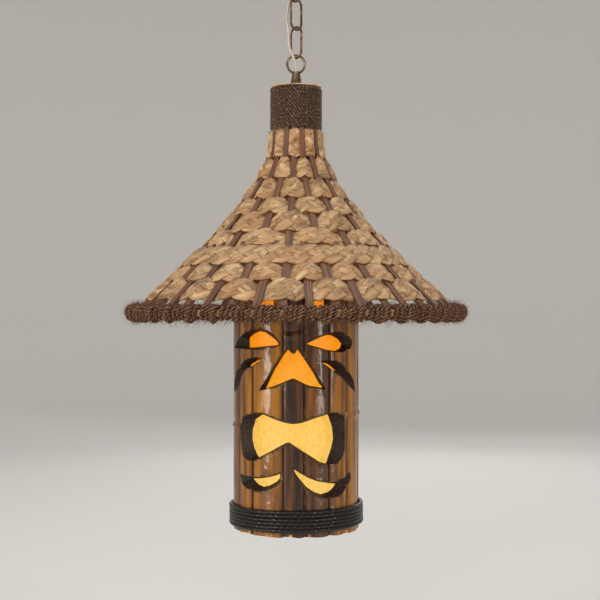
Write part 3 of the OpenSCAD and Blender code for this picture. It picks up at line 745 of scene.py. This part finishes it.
# Sanded pine disc on the neck: pale tan, rings about 3 mm apart
discWood = turnedWood("sandedPine", 0.65, 110.0, 4.0, "#94693f", "#c09a6c")
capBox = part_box("neck_cap")
discMake = {"hole": 8.4, "bevel": 0.7}
bm = bmesh.new()
corners = [(discMake["hole"] * mm, capBox[0].z), (capBox[1].x, capBox[0].z), (capBox[1].x, capBox[1].z),
           (discMake["hole"] * mm, capBox[1].z)]
section = [bm.verts.new((x, 0, z)) for x, z in corners]
edges = [bm.edges.new((section[i], section[(i + 1) % 4])) for i in range(4)]
bmesh.ops.spin(bm, geom=section + edges, cent=(0, 0, 0), axis=(0, 0, 1), angle=tau, steps=72, use_merge=True)
bmesh.ops.remove_doubles(bm, verts=bm.verts, dist=0.01 * mm)
outerEdges = [e for e in bm.edges if e.calc_face_angle(0) > 1 and min(v.co.xy.length for v in e.verts) > 0.02]
bmesh.ops.bevel(bm, geom=outerEdges, offset=discMake["bevel"] * mm, segments=3, profile=0.5, affect="EDGES",
                material=-1)
addPiece(bm, "neckDisc", discWood, "lamp", ["neck_cap"])
print("neck made")

# ---- drum: lacquered bamboo slats with the carved face ----

# Lacquered bamboo: amber to red-brown varnish over long fibres, glossy, with painted shade darkening the slat
# sides towards the joints.
# Painted glints of light: pale gold spots along the sawn lower edge of the slats.
lacqueredBamboo, shader = newMaterial("lacqueredBamboo", {
    "Roughness": 0.5, "Specular IOR Level": 0.25, "Coat Weight": 0.7, "Coat Roughness": 0.05,
    "Coat IOR": 1.42})
uv = addNode(lacqueredBamboo, "UVMap", {"uv_map": "UVMap"})
coords = addNode(lacqueredBamboo, "TexCoord")
# Fibres 0.7 mm apart on a 30 mm slat
fine = stretchedNoise(lacqueredBamboo, uv.outputs[0], (44.0, 7.0, 1.0), 5.0)
broad = stretchedNoise(lacqueredBamboo, uv.outputs[0], (3.4, 9.0, 1.0), 4.0)
slatTone = addNode(lacqueredBamboo, "Attribute", {"attribute_name": "tone"})
mixed = addNode(lacqueredBamboo, "Mix", {"data_type": "FLOAT"},
                {0: 0.82, 2: fine.outputs[0], 3: broad.outputs[0]})
lift = addNode(lacqueredBamboo, "Math", {"operation": "MULTIPLY_ADD"},
               {0: slatTone.outputs["Fac"], 1: 0.42, 2: mixed.outputs[0]})
tone = addNode(lacqueredBamboo, "ValToRGB", inputs={0: lift.outputs[0]}, stops=[
    (0.46, "#0e0602"), (0.6, "#2a1203"), (0.72, "#522c03"), (0.86, "#7c4c04"), (1.0, "#9c680a")])
# Painted shade: the edge value darkens the slat sides towards the grooves between slats, and the hidden inner
# faces; it also darkens the node ridges
edge = addNode(lacqueredBamboo, "Attribute", {"attribute_name": "edge"})
joint = addNode(lacqueredBamboo, "MapRange", inputs={0: edge.outputs["Fac"], 1: 0.82, 2: 1.0, 3: 0.0, 4: 0.9})
shade = addNode(lacqueredBamboo, "Mix", {"data_type": "RGBA"},
                {0: joint.outputs[0], 6: tone.outputs[0], 7: "#150904"})
split = addNode(lacqueredBamboo, "SeparateXYZ", inputs={0: coords.outputs["Object"]})
# Painted glints of light: pale gold in noise spots on the lowest few millimetres of the slats
glintBand = addNode(lacqueredBamboo, "MapRange", inputs={0: split.outputs[2], 1: bodyLow + 0.0032,
                                                   2: bodyLow + 0.0042, 3: 1.0, 4: 0.0})
glintSpots = addNode(lacqueredBamboo, "MapRange", inputs={0: broad.outputs[0], 1: 0.56, 2: 0.62})
glintMask = addNode(lacqueredBamboo, "Math", {"operation": "MULTIPLY"}, {0: glintBand.outputs[0], 1: glintSpots.outputs[0]})
withGlints = addNode(lacqueredBamboo, "Mix", {"data_type": "RGBA"},
               {0: glintMask.outputs[0], 6: shade.outputs[2], 7: "#d0a862"})
ripple = addNode(lacqueredBamboo, "TexNoise", inputs={"Vector": coords.outputs["Object"], "Scale": 75.0,
                                                      "Detail": 2.0})
fibreBump = addNode(lacqueredBamboo, "Bump", {},
                    {"Height": fine.outputs[0], "Strength": 0.25, "Distance": 0.0004})
coatBump = addNode(lacqueredBamboo, "Bump", {}, {
    "Height": ripple.outputs[0], "Strength": 0.45, "Distance": 0.002, "Normal": fibreBump.outputs[0]})
wire(lacqueredBamboo, shader, {
    "Base Color": withGlints.outputs[2], "Normal": fibreBump.outputs[0], "Coat Normal": coatBump.outputs[0]})

# Burnt edge: charred and varnished wood on the carved cuts, near black with a brown sheen
charredCut, shader = newMaterial("charredWood", {"Roughness": 0.55, "Specular IOR Level": 0.2})
coords = addNode(charredCut, "TexCoord")
gouge = stretchedNoise(charredCut, coords.outputs["Object"], (260.0, 260.0, 700.0), 4.0)
tone = addNode(charredCut, "ValToRGB", inputs={0: gouge.outputs[0]},
               stops=[(0.3, "#0c0706"), (0.55, "#281a12"), (0.75, "#4c3423")])
bump = addNode(charredCut, "Bump", {}, {"Height": gouge.outputs[0], "Strength": 0.6, "Distance": 0.0008})
wire(charredCut, shader, {"Base Color": tone.outputs[0], "Normal": bump.outputs[0]})

slatMake = {"edges": [-95, -62.5, -43, -12, 7.5, 31.5, 52.5, 80, 110, 141, 172, 203, 234, 265],
            "wall": 9.5, "gap": 0.4, "crown": 1.3, "round": 1.5, "nodeRise": 2.0, "nodeHalf": 2.4,
            "grooveHalf": 2.2, "grooveAbove": 5.5, "raggedEnd": 2.2, "steps": 110}
# From 0, dark red-brown, to 1, bright amber
slatTones = [0.62, 0.82, 0.86, 0.3, 0.42, 0.78, 0.9, 0.7, 0.6, 0.8, 0.5, 0.72, 0.85]
# Height of the bamboo joint on each slat, in mm above the drum's bottom
slatNodes = [134, 134, 71, 250, 93, 147, 147, 149, 60, 210, 120, 240, 90]
outerRadius = bodyRadius / mm


def addSlat(bm, index):
    halfGap = math.degrees(slatMake["gap"] / 2 / outerRadius)
    a0, a1 = slatMake["edges"][index] + halfGap, slatMake["edges"][index + 1] - halfGap
    middle, half = (a0 + a1) / 2, (a1 - a0) / 2
    outline = []  # (across -1 to 1, depth below the crown, edge value)
    for i in range(15):
        s = -1 + i / 7
        s = math.copysign(abs(s) ** 0.8, s)
        outline.append((s, slatMake["crown"] * s * s + slatMake["round"] * smoothStep(abs(s), 0.9, 1.0),
                        abs(s)))
    for s, depth in ((1, 5), (1, slatMake["wall"]), (0.4, slatMake["wall"]), (-0.4, slatMake["wall"]),
                     (-1, slatMake["wall"]), (-1, 5)):
        outline.append((s, depth, 1.0))
    sides = len(outline)
    heightRange = (bodyHigh - bodyLow) / mm
    ragged = rng.uniform(0, slatMake["raggedEnd"])
    nodeAt = slatNodes[index]

    def place(u, v):
        s, depth, edge = outline[round(u * sides) % sides]
        h = v * heightRange
        if v == 0:
            h = ragged * (0.6 + 0.4 * math.sin(s * 3 + index))
        above = h - nodeAt - 1.2 * s
        ridge = math.exp(-(above / slatMake["nodeHalf"]) ** 2)
        ridge -= 0.6 * math.exp(-((above - slatMake["grooveAbove"]) / slatMake["grooveHalf"]) ** 2)
        if depth < 4:
            depth -= slatMake["nodeRise"] * ridge * (1 - 0.6 * abs(s))
            depth += 0.35 * noise.noise(Vector((h * 0.02, s * 1.5, index * 3.7)))
        # Painted shade: the slat sides and hidden inner faces get a high edge value for the lacquer to
        # darken; the node ridges get one too
        dark = max(edge, 0.9 * smoothStep(ridge, 0.1, 1.0)) if depth < 4 else 0.9
        point = facePoint(middle + half * s, (outerRadius - depth) * mm, bodyLow + h * mm)
        return point, (index * 1.7 + 0.5 + s / 2, h * mm), dark

    addStrip(bm, sides, slatMake["steps"], place, merge=True, tone=slatTones[index])
    bmesh.ops.holes_fill(bm, edges=[e for e in bm.edges if e.is_boundary], sides=sides + 2)


bm = bmesh.new()
for index in range(len(slatMake["edges"]) - 1):
    addSlat(bm, index)
slatDrum = addPiece(bm, "slatDrum", lacqueredBamboo, "lamp",
                    ["slat_" + str(i + 1) for i in range(len(slatMake["edges"]) - 1)], sharp=40)

# Carved openings: [outline inside, outline outside], x across and height in mm; the cuts slope between
carving = {"level": -799.6, "inner": 71.8, "outer": 81.25, "points": 96, "reach": 36, "deep": 58,
           "margin": 0.2, "beyond": 260}
carvedShapes = {
    "eyeLeft": [
        [(-58.5, 237.1), (-58.5, 249.5), (-52.3, 255), (-44.9, 258.3), (-38.6, 257.3), (-31.3, 252.4),
         (-25.1, 247.5), (-21.8, 243.2), (-22.3, 241.5)],
        [(-79.3, 236.2), (-73.9, 248.7), (-64.2, 255.9), (-55.7, 260.1), (-44.2, 262), (-32.8, 258.9),
         (-24.1, 250.3), (-19.1, 243.2), (-21.6, 240.5), (-42.9, 237), (-58.3, 235.9)]],
    "eyeRight": [
        [(13, 243), (22.1, 247.1), (31, 251.3), (39, 253.8), (44.6, 252.9), (52.8, 248), (56.9, 242.2),
         (55.2, 236.7), (49.3, 233.6), (39, 235), (27.7, 238.6), (17.6, 241.5)],
        [(11.1, 243), (21.6, 249.1), (30.8, 254), (39.1, 257), (55.7, 257.9), (67.6, 252.5),
         (71.7, 244.3), (70, 236.5), (59.3, 232.1), (48.9, 232.2), (38.7, 233.8), (26.6, 237.4)]],
    "cheekLeft": [
        [(-58.3, 213.4), (-55.3, 216.9), (-46.6, 222.5), (-44.6, 222.6), (-46.6, 219.1), (-52.9, 215.4)],
        [(-42.3, 225.2), (-52.5, 226.4), (-61.8, 222.9), (-70.3, 216.1), (-76.5, 205.2), (-79.3, 190.7),
         (-79.7, 178.9), (-75.9, 182.4), (-72.7, 192), (-68.9, 202.7), (-63, 211), (-57.1, 214),
         (-46.8, 220.3)]],
    "cheekRight": [
        [(32.8, 219.6), (39, 217.6), (44.5, 213.6), (49.3, 208.8), (47.6, 208.9), (39, 214.9)],
        [(29.7, 221.8), (37.8, 223.1), (46.7, 222.6), (54.7, 219.4), (63.9, 212.1), (70, 201.5),
         (73.8, 191.9), (75.6, 179.9), (65.1, 191.8), (58.2, 200.2), (48.9, 207.4), (38.7, 214.6)]],
    "nose": [
        [(-9.8, 236), (-2.9, 228.3), (1.9, 236), (9.9, 224.4), (21, 207.6), (28.8, 193), (35, 187.8),
         (15.9, 191.3), (-3.8, 200.7), (-25.8, 191.1), (-37.7, 187.1), (-26.8, 209.9), (-15.8, 228)],
        [(-10.5, 238.7), (-2.8, 230.7), (2.6, 238.7), (11.7, 227), (24.1, 209.5), (37.2, 186.3),
         (15.8, 189.9), (-3.8, 199.3), (-25.6, 189.7), (-46.1, 184.6), (-30.3, 210.6), (-17.9, 230.6)]],
    "mouth": [
        [(-41.4, 154.6), (-50.6, 147.7), (-54.4, 133.8), (-54.8, 122.4), (-52.4, 111.5), (-46.6, 100.2),
         (-36.9, 106.1), (-22.3, 114.7), (-9.6, 121.9), (-0.1, 115.7), (16.5, 104.9), (31, 95.3),
         (37.2, 93.7), (43.5, 111.1), (46.4, 123.4), (45.3, 136.9), (42.5, 146.1), (39.5, 154.7),
         (22.1, 149.9), (6.6, 144.6), (-4.5, 143.4), (-16.8, 145.7), (-30.2, 150.2)],
        [(-41.6, 158.1), (-57.1, 156.1), (-67.7, 148.3), (-72.1, 139.5), (-71.4, 121.5), (-67.7, 101.5),
         (-58.3, 95.5), (-47.3, 98.9), (-36.6, 105.7), (-22.1, 113.8), (-9.5, 121.1), (-0.1, 114.8),
         (16.4, 104.1), (30.8, 94.2), (46.6, 92.8), (55.7, 96.8), (62.2, 108.2), (62.8, 123),
         (62.2, 147.7), (57, 155), (48.9, 157.9), (39.2, 157.6), (22, 152.7), (6.5, 147.4), (-4.4, 146.2),
         (-16.7, 148.5), (-30, 153.1)]],
    "lipLeft": [
        [(-53.6, 72.9), (-44.9, 74.1), (-33.6, 76.8), (-24.5, 79.6), (-19.5, 81.7), (-19.9, 76.5),
         (-24.5, 71.3), (-33.6, 66.2), (-40.3, 64.3), (-46.1, 66), (-50.6, 69.9)],
        [(-72.7, 78), (-63.6, 76.5), (-53.6, 76.1), (-33.3, 79.8), (-18.5, 84.9), (-18.5, 75),
         (-26.6, 66), (-37.8, 61.5), (-49.1, 58.4), (-60.6, 60.3), (-68.9, 66.5)]],
    "lipRight": [
        [(-2.9, 87.7), (5.5, 82.4), (16.5, 76.1), (27.7, 71.6), (39, 69.1), (49.3, 67), (46.4, 62.6),
         (40.2, 57.8), (31, 55.8), (22.1, 59.2), (13.2, 65.7), (5.5, 74.6), (-0.1, 81.9)],
        [(-4.3, 90.7), (5.4, 85.7), (16.4, 79.5), (27.5, 75.1), (38.7, 72.6), (48.9, 70.9), (60.4, 73.9),
         (69.3, 81.1), (70, 70.7), (63.9, 60.8), (54.7, 53.4), (43.2, 50.3), (30.8, 53.4), (17.9, 59.6),
         (8, 69.7)]],
    "browLeft": [
        [(-46, 288), (-41, 297), (-34, 300), (-26, 297), (-24, 288)],
        [(-50, 287.5), (-45, 298), (-37, 301.5), (-28.5, 298), (-26, 287.5)]],
    "browRight": [
        [(14.5, 288), (19, 294.5), (27, 298.5), (34, 301), (35, 288)],
        [(16, 287.5), (21, 295), (30, 299), (38.5, 301.5), (40, 287.5)]]}


# Even points round an outline, as (angle, height), always the same way round
def evenOutline(outline, count, radius):
    pairs = list(zip(outline, outline[1:] + outline[:1]))
    if sum(a[0] * b[1] - b[0] * a[1] for a, b in pairs) < 0:
        outline = outline[::-1]
        pairs = list(zip(outline, outline[1:] + outline[:1]))
    sizes = [math.dist(a, b) for a, b in pairs]
    total = sum(sizes)
    points = []
    for i in range(count):
        goal = total * i / count
        k = 0
        while goal > sizes[k]:
            goal -= sizes[k]
            k += 1
        (ax, ay), (bx, by) = pairs[k]
        t = goal / sizes[k]
        points.append((ax + (bx - ax) * t, ay + (by - ay) * t))
    soft = [tuple(0.6 * points[i][n] + 0.2 * (points[i - 1][n] + points[(i + 1) % count][n]) for n in (0, 1))
            for i in range(count)]
    return [(math.degrees(math.asin(max(-0.99, min(0.99, x / radius)))), y) for x, y in soft]


bm = bmesh.new()
for name, (inside, outside) in carvedShapes.items():
    count = carving["points"]
    near = evenOutline(outside, count, carving["outer"])
    inner = evenOutline(inside, count * 4, carving["inner"])
    inner = [(q, facePoint(q[0], carving["inner"], q[1])) for q in inner]
    spots = [facePoint(angle, carving["outer"], h) for angle, h in near]
    start = min(range(len(inner)), key=lambda k: (inner[k][1] - spots[0]).length)
    # Each outside point slopes to a near inside point, always one that is further round
    far, last = [inner[start][0]], 0
    for i in range(1, count):
        furthest = min(last + carving["reach"], len(inner) - count + i)
        last = min(range(last + 1, furthest + 1),
                   key=lambda k: (inner[(start + k) % len(inner)][1] - spots[i]).length)
        far.append(inner[(start + last) % len(inner)][0])

    def place(u, v):
        i = round(u * count) % count
        ring = round(v * 3)
        angle, h = far[i] if ring < 2 else near[i]
        radius = (carving["deep"], carving["inner"] - carving["margin"], carving["outer"] + carving["margin"],
                  carving["beyond"])[ring]  # the last is far enough out for its flat end to clear the drum
        return facePoint(angle, radius * mm, (carving["level"] + h) * mm), (0.0, 0.0), 1.0

    addStrip(bm, count, 3, place, merge=True)
    bmesh.ops.holes_fill(bm, edges=[e for e in bm.edges if e.is_boundary], sides=count + 2)
bmesh.ops.recalc_face_normals(bm, faces=bm.faces)
mesh = bpy.data.meshes.new("faceCutter")
bm.to_mesh(mesh)
bm.free()
mesh.materials.append(charredCut)
cutter = bpy.data.objects.new("faceCutter", mesh)
scene.collection.objects.link(cutter)
cut = slatDrum.modifiers.new("carving", "BOOLEAN")
cut.operation = "DIFFERENCE"
cut.solver = "MANIFOLD"
cut.material_mode = "TRANSFER"
cut.object = cutter
carved = bpy.data.meshes.new_from_object(slatDrum.evaluated_get(bpy.context.evaluated_depsgraph_get()))
slatDrum.modifiers.clear()
slatDrum.data = carved
bpy.data.objects.remove(cutter)
carved.shade_smooth()
carved.set_sharp_from_angle(angle=math.radians(34))
print("drum made:", len(carved.polygons), "faces,", [m.name for m in carved.materials])

# ---- base binding ----

# Lacquered cord: black-brown, glossy, with a slow twist
lacqueredCord, shader = newMaterial("lacqueredCord", {
    "Roughness": 0.5, "Specular IOR Level": 0.25, "Coat Weight": 0.35, "Coat Roughness": 0.12,
    "Coat IOR": 1.4})
uv, twist = twistedLay(lacqueredCord, 130.0, 3.0)  # 8 mm lay
stain = stretchedNoise(lacqueredCord, uv.outputs[0], (40.0, 2.0, 1.0), 4.0)
tone = addNode(lacqueredCord, "ValToRGB", inputs={0: stain.outputs[0]},
               stops=[(0.35, "#070403"), (0.6, "#140b08"), (0.78, "#2c1c13")])
bump = addNode(lacqueredCord, "Bump", {}, {"Height": twist.outputs[0], "Strength": 0.4, "Distance": 0.0006})
wire(lacqueredCord, shader, {"Base Color": tone.outputs[0], "Normal": bump.outputs[0],
                             "Coat Normal": bump.outputs[0]})

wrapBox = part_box("base_wrap")
wrapMake = {"turns": 6, "cord": 5.4, "steps": 150, "sides": 10}
wrapRise = (wrapBox[1].z - wrapBox[0].z - wrapMake["cord"] * mm) / (wrapMake["turns"] - 1)
path = []
for i in range(wrapMake["turns"] * wrapMake["steps"] + 1):
    turn = i / wrapMake["steps"]
    rise = wrapRise * turn * (wrapMake["turns"] - 1) / wrapMake["turns"]
    z = wrapBox[0].z + wrapMake["cord"] * mm / 2 + rise
    z += 0.8 * mm * noise.noise(Vector((turn * 3, 0, 7)))
    r = wrapBox[1].x - wrapMake["cord"] * mm / 2 + 0.8 * mm * noise.noise(Vector((turn * 5, 3, 1)))
    path.append(facePoint(180 + turn * 360, r, z))
bm = bmesh.new()
addTube(bm, path, wrapMake["cord"] * mm / 2, wrapMake["sides"], wobble=0.1)
addPiece(bm, "baseCord", lacqueredCord, "lamp", ["base_wrap"])
print("base binding made")
